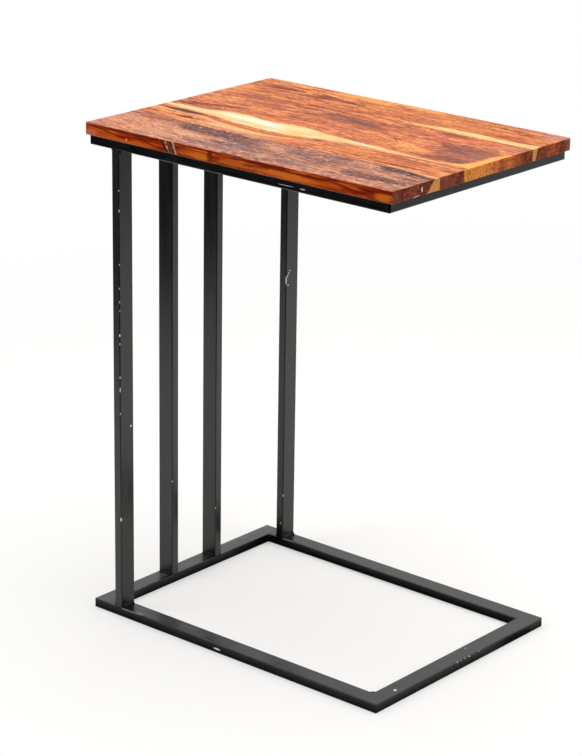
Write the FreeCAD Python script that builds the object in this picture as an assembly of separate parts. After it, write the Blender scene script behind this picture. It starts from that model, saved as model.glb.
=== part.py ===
# A C shaped side table: a wooden top, glued up from four boards, screwed to a welded frame of
# flat rectangular steel tube. The base slides under a seat while the top reaches over it.
#
# Millimetres. +X runs from the closed side, where the uprights stand, to the open side, +Y from
# the front to the back, and +Z up. The origin is on the floor, under the middle of the top.

import FreeCAD, Part
import os

Vector = FreeCAD.Vector
X_AXIS = Vector(1, 0, 0)
Y_AXIS = Vector(0, 1, 0)
Z_AXIS = Vector(0, 0, 1)

# ---------------------------------------------------------------- driving dimensions

# Steel tube: one section for the whole frame
TUBE_WIDE = 25.0
TUBE_THIN = 12.5
TUBE_WALL = 1.2
TUBE_CORNER = 1.5            # outside radius of the four long edges
TUBE_INSIDE_CORNER = 0.5

# Frame, measured over its outside faces
FRAME_LENGTH = 488.0         # along X
FRAME_WIDTH = 356.0          # along Y
FRAME_CORNER = 2.5           # radius of the ground upright edge of each mitre
UPRIGHT_LENGTH = 630.0
SIDE_UPRIGHT_SETBACK = 38.5  # closed end of the frame to the front and back uprights
MID_UPRIGHT_SPACING = 88.5   # between the centres of the two middle uprights

# Wooden top
TOP_THICKNESS = 16.0
END_OVERHANG = 6.0           # past the frame at the closed and the open end
SIDE_OVERHANG = 3.0          # past the frame at the front and the back
TOP_EDGE_RADIUS = 1.5        # all round the upper and the lower face
TOP_CORNER_RADIUS = 4.0      # the four upright edges
BOARD_1_WIDTH = 90.0         # the front board
BOARD_2_WIDTH = 56.0
BOARD_4_WIDTH = 84.0         # the back board; board 3 takes the rest of the width

# Welds
CORNER_BEAD_LEG = 3.0        # in the inner corners of both frames
UPRIGHT_BEAD_LEG = 2.5       # where an upright meets the flat of a rail
BEAD_BULGE = 0.6             # middle of the bead's face, as a share of its leg (0.5 is flat)
FILL_REACH = 0.8             # share of the tube's corner radius that a dressed weld fills

# Pan-head wood screws, driven up through the top frame
SCREW_DIAMETER = 4.0
SCREW_BITE = 12.5            # length of screw in the wood
SCREW_POINT = 3.0            # length of the pointed end
SCREW_POINT_DIAMETER = 0.6
SCREW_HEAD_DIAMETER = 8.0
SCREW_HEAD_HEIGHT = 2.8
SCREW_HEAD_EDGE = 1.2        # radius of the head's rounded rim
RECESS_SPAN = 4.6            # cross recess in the head
RECESS_WIDTH = 0.9
RECESS_DEPTH = 1.6
RAIL_HOLE_CLEARANCE = 0.25   # all round the screw, in both walls of a rail
PILOT_HOLE_SPARE = 0.8       # depth of the pilot hole beyond the screw's point
LONG_RAIL_SCREW_INSET = 84.0       # end of the frame to the outer screws of a long rail
SHORT_RAIL_SCREW_FROM_UPRIGHT = 28.0   # middle upright's centre to the screw next to it

# ---------------------------------------------------------------- sizes that follow

TOP_LENGTH = FRAME_LENGTH + 2 * END_OVERHANG
TOP_WIDTH = FRAME_WIDTH + 2 * SIDE_OVERHANG
BOARD_3_WIDTH = TOP_WIDTH - BOARD_1_WIDTH - BOARD_2_WIDTH - BOARD_4_WIDTH
BOARD_WIDTHS = (BOARD_1_WIDTH, BOARD_2_WIDTH, BOARD_3_WIDTH, BOARD_4_WIDTH)

UPRIGHT_BOTTOM = TUBE_THIN
UPRIGHT_TOP = UPRIGHT_BOTTOM + UPRIGHT_LENGTH
TOP_FRAME_TOP = UPRIGHT_TOP + TUBE_THIN

FRAME_END = FRAME_LENGTH / 2
FRAME_SIDE = FRAME_WIDTH / 2
TUBE_FLAT_WIDE = TUBE_WIDE - 2 * TUBE_CORNER
TUBE_FLAT_THIN = TUBE_THIN - 2 * TUBE_CORNER

NEARLY_PARALLEL = 0.99       # cosine between an edge and an axis that it counts as running along


# ---------------------------------------------------------------- shared shapes

def rounded_bar(low, high, axis, radius):
    """A box between two corners, with its four edges along the axis rounded."""
    size = high - low
    box = Part.makeBox(size.x, size.y, size.z, low)
    edges = [edge for edge in box.Edges
             if abs(edge.tangentAt(edge.FirstParameter).dot(axis)) > NEARLY_PARALLEL]
    return box.makeFillet(radius, edges)


def tube(low, high, axis):
    """A hollow tube along the axis that fills the box between two corners, open at its ends."""
    inset = (X_AXIS + Y_AXIS + Z_AXIS - axis) * TUBE_WALL
    outside = rounded_bar(low, high, axis, TUBE_CORNER)
    bore = rounded_bar(low + inset, high - inset, axis, TUBE_INSIDE_CORNER)
    return outside.cut(bore)


def prism(points, run):
    """The closed outline through the points, pushed along the vector run."""
    return Part.Face(Part.makePolygon(points + points[:1])).extrude(run)


def rectangle_corners(length, width, height):
    """Corners of a level rectangle about the origin: front closed, front open, back open, back closed."""
    x = length / 2
    y = width / 2
    return [Vector(-x, -y, height), Vector(x, -y, height), Vector(x, y, height), Vector(-x, y, height)]


def box_of(points):
    """Lowest and highest corner of the box that holds the points."""
    low = Vector(min(p.x for p in points), min(p.y for p in points), min(p.z for p in points))
    high = Vector(max(p.x for p in points), max(p.y for p in points), max(p.z for p in points))
    return low, high


# ---------------------------------------------------------------- frames and uprights

def frame_rails(bottom):
    """The four mitred rails of one frame, laid flat with their undersides at this height."""
    outer = rectangle_corners(FRAME_LENGTH, FRAME_WIDTH, bottom)
    inner = rectangle_corners(FRAME_LENGTH - 2 * TUBE_WIDE, FRAME_WIDTH - 2 * TUBE_WIDE, bottom)
    rise = Z_AXIS * TUBE_THIN
    ground_outline = rounded_bar(outer[0], outer[2] + rise, Z_AXIS, FRAME_CORNER)
    rails = {}
    for index, (side, axis) in enumerate((("front", X_AXIS), ("open", Y_AXIS),
                                          ("back", X_AXIS), ("closed", Y_AXIS))):
        after = (index + 1) % 4
        plan = [outer[index], outer[after], inner[after], inner[index]]
        low, high = box_of(plan)
        mitred = tube(low, high + rise, axis).common(prism(plan, rise))
        rails[side] = mitred.common(ground_outline)
    return rails


def upright_places():
    """Name, middle in plan, and the size along X and Y of each upright."""
    side_x = -FRAME_END + SIDE_UPRIGHT_SETBACK + TUBE_THIN / 2
    side_y = FRAME_SIDE - TUBE_WIDE / 2
    mid_x = -FRAME_END + TUBE_WIDE / 2
    mid_y = MID_UPRIGHT_SPACING / 2
    return [("upright_front", side_x, -side_y, TUBE_THIN, TUBE_WIDE),
            ("upright_mid_front", mid_x, -mid_y, TUBE_WIDE, TUBE_THIN),
            ("upright_mid_back", mid_x, mid_y, TUBE_WIDE, TUBE_THIN),
            ("upright_back", side_x, side_y, TUBE_THIN, TUBE_WIDE)]


def upright(x, y, size_x, size_y):
    """One upright, from the base rails to the top frame."""
    low = Vector(x - size_x / 2, y - size_y / 2, UPRIGHT_BOTTOM)
    high = Vector(x + size_x / 2, y + size_y / 2, UPRIGHT_TOP)
    return tube(low, high, Z_AXIS)


# ---------------------------------------------------------------- welds

def bead(corner, out_1, out_2, run, leg):
    """A fillet bead that starts in a corner, between faces that leave it along out_1 and out_2."""
    foot_1 = corner + out_1 * leg
    foot_2 = corner + out_2 * leg
    crown = corner + (out_1 + out_2) * (leg * BEAD_BULGE)
    face_edge = Part.Arc(foot_1, crown, foot_2).toShape()
    side_1 = Part.LineSegment(corner, foot_1).toShape()
    side_2 = Part.LineSegment(foot_2, corner).toShape()
    return Part.Face(Part.Wire([side_1, face_edge, side_2])).extrude(run)


def dressed_fill(edge, inward, down, run):
    """The ground-flush weld between the end of an upright and the rounded edge of its rail.

    edge is the point where the flush faces would meet, inward runs along the upright's end and
    down along the rail's side. The fill stops a little short of both ends of the rounding, where
    it would run out to nothing.
    """
    reach = TUBE_CORNER * FILL_REACH
    left = TUBE_CORNER - reach
    gap = TUBE_CORNER - (TUBE_CORNER ** 2 - left ** 2) ** 0.5
    on_diagonal = TUBE_CORNER * (1 - 0.5 ** 0.5)
    corners = [edge + down * reach + inward * gap, edge + down * reach, edge,
               edge + inward * reach, edge + inward * reach + down * gap]
    lines = [Part.LineSegment(a, b).toShape() for a, b in zip(corners, corners[1:])]
    rounding = Part.Arc(corners[-1], edge + (inward + down) * on_diagonal, corners[0]).toShape()
    return Part.Face(Part.Wire(lines + [rounding])).extrude(run)


def upright_welds(height, towards_upright):
    """Beads and dressed fills of all uprights at one end; towards_upright is +Z or -Z."""
    welds = []
    for _, x, y, size_x, size_y in upright_places():
        across_rail = X_AXIS if size_x > size_y else Y_AXIS
        along_rail = Y_AXIS if size_x > size_y else X_AXIS
        centre = Vector(x, y, height)
        for sign in (-1, 1):
            out = along_rail * sign
            start = centre + out * (TUBE_THIN / 2) - across_rail * (TUBE_FLAT_WIDE / 2)
            welds.append(bead(start, out, towards_upright, across_rail * TUBE_FLAT_WIDE, UPRIGHT_BEAD_LEG))
            inward = across_rail * -sign
            edge = centre - inward * (TUBE_WIDE / 2) - along_rail * (TUBE_FLAT_THIN / 2)
            welds.append(dressed_fill(edge, inward, -towards_upright, along_rail * TUBE_FLAT_THIN))
    return Part.makeCompound(welds)


def corner_welds(bottom):
    """The upright bead in each inner corner of one frame."""
    inner = rectangle_corners(FRAME_LENGTH - 2 * TUBE_WIDE, FRAME_WIDTH - 2 * TUBE_WIDE,
                              bottom + TUBE_CORNER)
    beads = []
    for corner in inner:
        towards_middle_x = X_AXIS if corner.x < 0 else -X_AXIS
        towards_middle_y = Y_AXIS if corner.y < 0 else -Y_AXIS
        beads.append(bead(corner, towards_middle_x, towards_middle_y, Z_AXIS * TUBE_FLAT_THIN,
                          CORNER_BEAD_LEG))
    return Part.makeCompound(beads)


# ---------------------------------------------------------------- screws

def screw_places():
    """Plan positions of the screws: three in each long rail and two in each short rail."""
    long_x = FRAME_END - LONG_RAIL_SCREW_INSET
    long_y = FRAME_SIDE - TUBE_WIDE / 2
    short_x = FRAME_END - TUBE_WIDE / 2
    short_y = MID_UPRIGHT_SPACING / 2 + SHORT_RAIL_SCREW_FROM_UPRIGHT
    places = [(x, y) for y in (-long_y, long_y) for x in (-long_x, 0.0, long_x)]
    places += [(x, y) for x in (-short_x, short_x) for y in (-short_y, short_y)]
    return places


def drilling(radius, bottom, top):
    """One round hole at every screw, between two heights."""
    holes = [Part.makeCylinder(radius, top - bottom, Vector(x, y, bottom)) for x, y in screw_places()]
    return Part.makeCompound(holes)


def screw(x, y):
    """One pan-head screw, point up, with its head against the underside of the top frame."""
    radius = SCREW_DIAMETER / 2
    head_radius = SCREW_HEAD_DIAMETER / 2
    seat = Vector(x, y, UPRIGHT_TOP)
    shank_length = TUBE_THIN + SCREW_BITE - SCREW_POINT
    shank = Part.makeCylinder(radius, shank_length, seat)
    point = Part.makeCone(radius, SCREW_POINT_DIAMETER / 2, SCREW_POINT, seat + Z_AXIS * shank_length)
    underside = seat - Z_AXIS * SCREW_HEAD_HEIGHT
    head = Part.makeCylinder(head_radius, SCREW_HEAD_HEIGHT, underside)
    rim = [edge for edge in head.Edges if edge.BoundBox.ZMax < underside.z + SCREW_HEAD_EDGE]
    head = head.makeFillet(SCREW_HEAD_EDGE, rim)
    for span_x, span_y in ((RECESS_SPAN, RECESS_WIDTH), (RECESS_WIDTH, RECESS_SPAN)):
        slot_corner = underside - Vector(span_x / 2, span_y / 2, 0)
        head = head.cut(Part.makeBox(span_x, span_y, RECESS_DEPTH, slot_corner))
    return head.fuse(shank).fuse(point).removeSplitter()


# ---------------------------------------------------------------- wooden top

def top_boards():
    """The four boards of the top, front to back, with the outer edges of the whole top eased."""
    low = Vector(-TOP_LENGTH / 2, -TOP_WIDTH / 2, TOP_FRAME_TOP)
    high = Vector(TOP_LENGTH / 2, TOP_WIDTH / 2, TOP_FRAME_TOP + TOP_THICKNESS)
    whole = rounded_bar(low, high, Z_AXIS, TOP_CORNER_RADIUS)
    rims = [edge for edge in whole.Edges if edge.BoundBox.ZLength < TOP_EDGE_RADIUS]
    whole = whole.makeFillet(TOP_EDGE_RADIUS, rims)
    pilot_holes = drilling(SCREW_DIAMETER / 2, TOP_FRAME_TOP, TOP_FRAME_TOP + SCREW_BITE + PILOT_HOLE_SPARE)
    whole = whole.cut(pilot_holes)
    boards = []
    for width in BOARD_WIDTHS:
        boards.append(whole.common(Part.makeBox(TOP_LENGTH, width, TOP_THICKNESS, low)))
        low = low + Y_AXIS * width
    return boards


# ---------------------------------------------------------------- the whole table

def build():
    """Every node by name."""
    nodes = {}
    for number, board in enumerate(top_boards(), start=1):
        nodes["top_board_%d" % number] = board
    rail_hole = SCREW_DIAMETER / 2 + RAIL_HOLE_CLEARANCE
    rail_holes = drilling(rail_hole, UPRIGHT_TOP, TOP_FRAME_TOP)
    for side, rail in frame_rails(UPRIGHT_TOP).items():
        nodes["top_rail_" + side] = rail.cut(rail_holes)
    for side, rail in frame_rails(0.0).items():
        nodes["base_rail_" + side] = rail
    for name, x, y, size_x, size_y in upright_places():
        nodes[name] = upright(x, y, size_x, size_y)
    nodes["top_corner_welds"] = corner_welds(UPRIGHT_TOP)
    nodes["base_corner_welds"] = corner_welds(0.0)
    nodes["head_welds"] = upright_welds(UPRIGHT_TOP, -Z_AXIS)
    nodes["foot_welds"] = upright_welds(UPRIGHT_BOTTOM, Z_AXIS)
    nodes["top_screws"] = Part.makeCompound([screw(x, y) for x, y in screw_places()])
    return nodes


os.makedirs("parts", exist_ok=True)
for node, shape in build().items():
    shape.exportStep("parts/%s.step" % node)
    print("%-20s solids %2d  volume %.1f mm3  valid %s"
          % (node, len(shape.Solids), shape.Volume, shape.isValid()))
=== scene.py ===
"""Looks of a C shaped side table: a glued-up hardwood top on a welded frame of flat black tube.

Blender works in metres, in the frame of the CAD model: +X from the closed side with the uprights
to the open side, +Y from the front to the back, +Z up, and the origin on the floor under the
middle of the top. Sizes and places are written in millimetres, apart from those of the floor, the
lamps and the camera. Materials read object coordinates, which are the same for every piece.
"""

import math

import bmesh
import bpy
from mathutils import Matrix, Vector, noise


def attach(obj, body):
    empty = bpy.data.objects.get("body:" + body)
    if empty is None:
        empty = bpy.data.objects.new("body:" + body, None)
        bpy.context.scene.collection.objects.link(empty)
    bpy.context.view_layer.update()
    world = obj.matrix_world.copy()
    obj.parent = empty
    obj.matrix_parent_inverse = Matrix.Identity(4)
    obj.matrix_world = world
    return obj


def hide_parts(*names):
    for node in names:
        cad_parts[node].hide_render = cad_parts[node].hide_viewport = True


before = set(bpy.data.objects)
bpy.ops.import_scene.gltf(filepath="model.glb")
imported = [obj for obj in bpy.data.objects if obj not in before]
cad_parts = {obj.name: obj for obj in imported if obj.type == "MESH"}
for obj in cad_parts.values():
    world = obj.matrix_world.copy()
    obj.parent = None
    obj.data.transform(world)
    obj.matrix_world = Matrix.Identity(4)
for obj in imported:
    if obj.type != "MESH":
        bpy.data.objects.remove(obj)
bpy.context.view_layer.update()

MM = 0.001


# ---------------- node writing

def rgb(red, green, blue):
    """A display colour, each part from 0 to 255, as the linear colour that a socket takes."""
    parts = []
    for part in (red, green, blue):
        share = part / 255
        parts.append(share / 12.92 if share <= 0.04045 else ((share + 0.055) / 1.055) ** 2.4)
    return (*parts, 1.0)


def shades(*stops):
    """Stops of a colour ramp from rows of a position and a display colour."""
    return [(position, rgb(*parts)) for position, *parts in stops]


def written(operation, turned=False):
    """A method that does one kind of arithmetic with a Math node."""
    def method(self, other=0.0):
        return self.pen.math(operation, *((other, self) if turned else (self, other)))
    return method


class Number:
    """A socket's value in arithmetic: each operation adds a Math node."""

    def __init__(self, pen, socket):
        self.pen = pen
        self.socket = socket

    __add__ = written("ADD")
    __radd__ = written("ADD", turned=True)
    __sub__ = written("SUBTRACT")
    __rsub__ = written("SUBTRACT", turned=True)
    __mul__ = written("MULTIPLY")
    __truediv__ = written("DIVIDE")
    __abs__ = written("ABSOLUTE")


class Pen:
    """Writes the nodes of one material or of the world; its colour is the one coated so far."""

    def __init__(self, owner, kind="Material"):
        self.owner = owner
        owner.use_nodes = True
        self.tree = owner.node_tree
        self.tree.nodes.clear()
        self.output = self.add("Output" + kind)

    def plug(self, socket, value):
        if isinstance(value, Number):
            value = value.socket
        if isinstance(value, bpy.types.NodeSocket):
            self.tree.links.new(value, socket)
        else:
            socket.default_value = value

    def add(self, kind, inputs=None, **settings):
        node = self.tree.nodes.new("ShaderNode" + kind)
        for key, value in settings.items():
            setattr(node, key, value)
        for key, value in (inputs or {}).items():
            self.plug(node.inputs[key], value)
        return node

    def result(self, kind, inputs=None, output=0, **settings):
        """One output of a new node, as a number."""
        return Number(self, self.add(kind, inputs, **settings).outputs[output])

    def math(self, operation, first, second=0.0):
        return self.result("Math", {0: first, 1: second}, operation=operation)

    def most(self, first, second):
        return self.math("MAXIMUM", first, second)

    def parts(self, vector):
        """The three parts of a vector, as numbers."""
        return [Number(self, part) for part in self.add("SeparateXYZ", {0: vector}).outputs]

    def place(self):
        """Object coordinates in millimetres, as three numbers."""
        return [part * (1 / MM) for part in self.parts(self.add("TexCoord").outputs["Object"])]

    def normal(self):
        """The surface's direction, as three numbers."""
        return self.parts(self.add("NewGeometry").outputs["Normal"])

    def noise(self, x, y, z, detail=2.0, rough=0.5, twist=0.0):
        """Smooth noise from 0 to 1, mostly near the middle, at a place in units of its grain."""
        spot = self.add("CombineXYZ", {0: x, 1: y, 2: z})
        return self.result("TexNoise", {"Vector": spot.outputs[0], "Scale": 1.0, "Detail": detail,
                                        "Roughness": rough, "Distortion": twist}, "Fac")

    def grain(self, place, sizes, shift=0.0, *character):
        """Noise in patches of about the given sizes; each shift gives a pattern of its own."""
        x, y, z = (part * (1 / size) for part, size in zip(place, sizes))
        return self.noise(x, y, z + shift, *character)

    def rise(self, value, low, high):
        """0 below low, 1 above high and a smooth step between; falls where low is above high."""
        return self.result("MapRange", {"Value": value, "From Min": low, "From Max": high},
                           interpolation_type="SMOOTHSTEP")

    def curve(self, value, points, span, reach):
        """The smooth line through (value, result) points, for values and results in two ranges."""
        node = self.add("FloatCurve", {"Value": (value - span[0]) * (1 / (span[1] - span[0]))})
        line = node.mapping.curves[0]
        spots = [((a - span[0]) / (span[1] - span[0]), (b - reach[0]) / (reach[1] - reach[0]))
                 for a, b in points]
        line.points[0].location = spots[0]
        line.points[1].location = spots[-1]
        for spot in spots[1:-1]:
            line.points.new(*spot)
        node.mapping.update()
        return Number(self, node.outputs[0]) * (reach[1] - reach[0]) + reach[0]

    def ramp(self, value, stops):
        """A colour that runs smoothly through (position, colour) stops."""
        node = self.add("ValToRGB", {0: value})
        ramp = node.color_ramp
        ramp.interpolation = "EASE"
        while len(ramp.elements) < len(stops):
            ramp.elements.new(1.0)
        for element, (position, colour) in zip(ramp.elements, stops):
            element.position = position
            element.color = colour
        return node.outputs["Color"]

    def oval(self, along, across, middle, halves, slope=0.0, fray=0.0, fade=(1.25, 0.65)):
        """1 in a leaning oval and 0 outside; its rim is at 1, and fray moves the fade about it."""
        away = along - middle[0]
        first = away * (1 / halves[0])
        second = (across - middle[1] - away * slope) * (1 / halves[1])
        return self.rise(self.math("SQRT", first * first + second * second) + fray, *fade)

    def mix(self, base, top, share, blend="MIX"):
        return self.add("Mix", {0: share, 6: base, 7: top}, data_type="RGBA", blend_type=blend).outputs[2]

    def coat(self, top, share, blend="MIX"):
        """Lays a colour over the pen's colour."""
        self.colour = self.mix(self.colour, top, share, blend)

    def set(self, name, value):
        self.plug(self.shader.inputs[name], value)

    def bump(self, height, depth):
        """Surface relief from a height of 0 to 1, with its depth in millimetres."""
        node = self.add("Bump", {"Height": height, "Strength": 1.0, "Distance": depth * MM})
        self.set("Normal", node.outputs["Normal"])


def material_pen(name):
    """A pen for a new material, with its Principled shader."""
    pen = Pen(bpy.data.materials.new(name))
    pen.shader = pen.add("BsdfPrincipled")
    pen.plug(pen.output.inputs["Surface"], pen.shader.outputs[0])
    return pen


# ---------------- meshes

def new_object(name, data):
    """A new object in the scene."""
    made = bpy.data.objects.new(name, data)
    bpy.context.scene.collection.objects.link(made)
    return made


def new_piece(name, points, faces, slot, *nodes):
    """A smooth-shaded piece from points in millimetres, which stands for CAD nodes."""
    mesh = bpy.data.meshes.new(name)
    mesh.from_pydata([tuple(part * MM for part in point) for point in points], [], faces)
    mesh.validate()
    bm = bmesh.new()
    bm.from_mesh(mesh)
    bmesh.ops.recalc_face_normals(bm, faces=bm.faces)
    bm.to_mesh(mesh)
    bm.free()
    mesh.shade_smooth()
    piece = new_object(name, mesh)
    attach(piece, "root")
    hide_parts(*nodes)
    return piece


def box_shell(places):
    """Points and faces of a box's surface, divided at the given places along each axis."""
    index = {}
    points = []
    faces = []

    def point(key):
        if key not in index:
            index[key] = len(points)
            points.append(Vector([places[axis][key[axis]] for axis in range(3)]))
        return index[key]

    for axis in range(3):
        first, second = (axis + 1) % 3, (axis + 2) % 3
        for side in (0, len(places[axis]) - 1):
            for i in range(len(places[first]) - 1):
                for j in range(len(places[second]) - 1):
                    ring = []
                    for di, dj in ((0, 0), (1, 0), (1, 1), (0, 1)):
                        key = [0, 0, 0]
                        key[axis] = side
                        key[first] = i + di
                        key[second] = j + dj
                        ring.append(point(tuple(key)))
                    faces.append(ring)
    return points, faces


def spread(low, high, step, near_low, near_high, fine=()):
    """Places from low to high about a step apart, with the listed distances from each end."""
    places = {low, high}
    places.update(low + gap for gap in near_low)
    places.update(high - gap for gap in near_high)
    start = low + max(near_low)
    stop = high - max(near_high)
    count = max(1, round((stop - start) / step))
    places.update(start + (stop - start) * i / count for i in range(count + 1))
    places.update(place for place in fine if low < place < high)
    return sorted(places)


# ---------------- the wooden top's shape

TOP_HALF_LENGTH = 250
TOP_HALF_WIDTH = 181
TOP_UNDERSIDE = 655
TOP_FACE = 671
SEAM_1 = -91
SEAM_2 = -35
SEAM_3 = 97
EDGES_ACROSS = (-TOP_HALF_WIDTH, SEAM_1, SEAM_2, SEAM_3, TOP_HALF_WIDTH)
CORNER_RADIUS = 4
EDGE_RADIUS = 1.5
EDGE_STEPS = (0.3, 0.6, 0.95, 1.35, 1.8, 2.4, 3.2, 4.2)
SEAM_STEPS = (0.3, 0.8)
SEAM_DEPTH = 0.12
SEAM_HALF_WIDTH = 0.6
ON_FACE = 0.001               # a point nearer than this lies on the face
GRID_STEP = 3.4
GRID_STEP_UP = 1.2
CRACK_START = -122
CRACK_STEP = 0.8
PILOT_RADIUS = 2
PILOT_DEPTH = 13.3
SCREW_SPOTS = ((-160, -165.5), (0, -165.5), (160, -165.5), (-160, 165.5), (0, 165.5), (160, 165.5),
               (-231.5, -72.25), (-231.5, 72.25), (231.5, -72.25), (231.5, 72.25))

# Dents in the top: middle, radius and depth
DENTS = (((250, -125, 663), 2.6, 0.7), ((250, -132, 656), 2.2, 0.8), ((250, -143, 655.5), 2.6, 0.8),
         ((-176, -181, 660), 1.6, 0.5), ((-238, -181, 656), 3, 0.6), ((205, 152, 671), 2.5, 0.35),
         ((27, -51, 671), 4, 0.25), ((-172, -70, 671), 4, 0.25), ((-120, -181, 670.5), 3.5, 0.7),
         ((-88, -181, 670), 3, 0.6), ((-42, -181, 671), 3, 0.5), ((120, -181, 655), 4, 0.5),
         ((250, 38, 671), 3, 0.4), ((250, -60, 655), 3, 0.5), ((-250, 60, 671), 3.5, 0.5),
         ((-60, 181, 655), 4, 0.6), ((90, 181, 671), 3, 0.5))


def crack_depth(x, z):
    """Depth of the open bark crack in the front edge of the top, and of its ragged hollow."""
    run = (z - TOP_UNDERSIDE) / (TOP_FACE - TOP_UNDERSIDE)
    line = x - (-105.5 - 13.5 * run + 1.2 * noise.noise(Vector((x * 0.1, z * 0.5, 1))))
    depth = 0.9 * math.exp(-(line / 1.3) ** 2)
    hollow = x - (-96.5 - 3 * run)
    ragged = 0.5 + 0.9 * noise.noise(Vector((x * 0.45, z * 0.22, 7)))
    return depth + max(0, ragged) * 0.75 * math.exp(-(hollow / 6) ** 4)


def eased(point):
    """Moves a point of the sharp-edged top onto the hand-sanded one."""
    x, y, z = point
    wear = 0.5 + 0.5 * noise.noise(Vector((x, y, z)) * 0.035)
    radius = EDGE_RADIUS * (0.72 + 0.55 * wear)
    away_x = max(0, abs(x) - (TOP_HALF_LENGTH - CORNER_RADIUS))
    away_y = max(0, abs(y) - (TOP_HALF_WIDTH - CORNER_RADIUS))
    side_x = math.copysign(1, x)
    side_y = math.copysign(1, y)
    reach = max(away_x, away_y)
    inset = CORNER_RADIUS - reach
    length = math.hypot(away_x, away_y) or 1
    outward = Vector((side_x * away_x / length, side_y * away_y / length))
    if away_x > 0 and away_y > 0:
        x = side_x * (TOP_HALF_LENGTH - CORNER_RADIUS) + outward.x * reach
        y = side_y * (TOP_HALF_WIDTH - CORNER_RADIUS) + outward.y * reach
    upper = z > (TOP_FACE + TOP_UNDERSIDE) / 2
    sink = TOP_FACE - z if upper else z - TOP_UNDERSIDE
    new_inset = inset
    new_sink = sink
    if inset < radius and sink < radius:
        length = math.hypot(radius - inset, radius - sink)
        scale = max(radius - inset, radius - sink) / length
        new_inset = radius - (radius - inset) * scale
        new_sink = radius - (radius - sink) * scale
    if inset < ON_FACE < sink:
        new_inset += 0.07 * (0.5 + 0.5 * noise.noise(Vector((x, y, z)) * 0.05))
        if outward.y < -0.5:
            new_inset += crack_depth(x, z)
    if sink < ON_FACE:
        new_sink += 0.1 * (0.5 + 0.5 * noise.noise(Vector((x * 0.012, y * 0.03, z))))
        seam_gap = min(abs(y - seam) for seam in (SEAM_1, SEAM_2, SEAM_3))
        new_sink += SEAM_DEPTH * max(0, 1 - seam_gap / SEAM_HALF_WIDTH)
    x -= outward.x * (new_inset - inset)
    y -= outward.y * (new_inset - inset)
    z = TOP_FACE - new_sink if upper else TOP_UNDERSIDE + new_sink
    moved = Vector((x, y, z))
    for middle, dent_radius, depth in DENTS:
        away = (moved - Vector(middle)).length / dent_radius
        if away < 1:
            push = depth * (1 - away * away) ** 2
            inward = Vector((-outward.x, -outward.y, 0)) * (1 if new_inset < radius else 0)
            if new_sink < radius:
                inward.z = -1 if upper else 1
            moved += inward.normalized() * push
    return moved


def drilled(piece, low_y, high_y):
    """Cuts the pilot holes of one board."""
    cutter_mesh = bpy.data.meshes.new("pilot_cutter")
    bm = bmesh.new()
    for x, y in SCREW_SPOTS:
        if low_y < y < high_y:
            middle = Vector((x, y, TOP_UNDERSIDE + PILOT_DEPTH / 2 - 1)) * MM
            bmesh.ops.create_cone(bm, cap_ends=True, segments=24, radius1=PILOT_RADIUS * MM,
                                  radius2=PILOT_RADIUS * MM, depth=(PILOT_DEPTH + 2) * MM,
                                  matrix=Matrix.Translation(middle))
    bm.to_mesh(cutter_mesh)
    bm.free()
    cutter = new_object("pilot_cutter", cutter_mesh)
    cut = piece.modifiers.new("pilot_holes", "BOOLEAN")
    cut.operation = "DIFFERENCE"
    cut.solver = "EXACT"
    cut.object = cutter
    bpy.context.view_layer.update()
    shape = bpy.data.meshes.new_from_object(piece.evaluated_get(bpy.context.evaluated_depsgraph_get()))
    piece.modifiers.clear()
    old = piece.data
    piece.data = shape
    bpy.data.meshes.remove(old)
    bpy.data.objects.remove(cutter)
    bpy.data.meshes.remove(cutter_mesh)


def board(number):
    """One board of the top, with sanded edges, dents, a bark crack and its pilot holes."""
    low_y, high_y = EDGES_ACROSS[number - 1:number + 1]
    around_crack = [CRACK_START + CRACK_STEP * i for i in range(50)] if number == 1 else []
    along = spread(-TOP_HALF_LENGTH, TOP_HALF_LENGTH, GRID_STEP, EDGE_STEPS, EDGE_STEPS, around_crack)
    across = spread(low_y, high_y, GRID_STEP, EDGE_STEPS if number == 1 else SEAM_STEPS,
                    EDGE_STEPS if number == 4 else SEAM_STEPS)
    up = spread(TOP_UNDERSIDE, TOP_FACE, GRID_STEP_UP, EDGE_STEPS[:5], EDGE_STEPS[:5])
    points, faces = box_shell((along, across, up))
    name = "top_board_%d" % number
    piece = new_piece("solid_" + name, [eased(point) for point in points], faces, "oiled_hardwood", name)
    drilled(piece, low_y, high_y)
    piece.data.materials.append(wood(number))
    return piece


# ---------------- the wood's figure

# Outline of the cream sapwood lens that boards 2 and 3 share: distance along the top, then across
LENS_BACK_EDGE = [
    (-250, -19), (-225, -20), (-200, -19), (-180, -16), (-163, -12), (-146, -7), (-120, -7), (-95, -11),
    (-77, -13), (-55, -9), (-30, -8), (-6, -11), (24, -16), (69, -21), (112, -24), (155, -28), (200, -31),
    (250, -33)]
LENS_FRONT_EDGE = [
    (-250, -33), (-220, -37), (-195, -38), (-168, -41), (-150, -44), (-126, -49), (-100, -53), (-75, -56),
    (-45, -57), (-8, -54), (15, -48), (35, -42), (79, -38), (124, -39), (160, -38), (200, -37), (250, -37)]
# The thin red-brown line that runs beside the lens in board 2
RED_LINE = [
    (-250, -46), (-229, -44), (-204, -42), (-181, -45), (-163, -48), (-130, -57), (-102, -62), (-76, -66),
    (-39, -68), (-13, -63), (10, -55), (27, -52), (60, -48), (110, -45), (162, -41), (200, -41), (232, -42),
    (250, -43)]
# Edges of the sapwood strip along the front of board 4
STRIP_FRONT_EDGE = [(-250, 111), (20, 107), (47, 104), (84, 101), (114, 99.5), (148, 97), (250, 96)]
STRIP_BACK_EDGE = [
    (-250, 106), (20, 109), (47, 108), (78, 109), (102, 113.5), (136, 114), (166, 114), (190, 112),
    (215, 112), (250, 115)]
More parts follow.
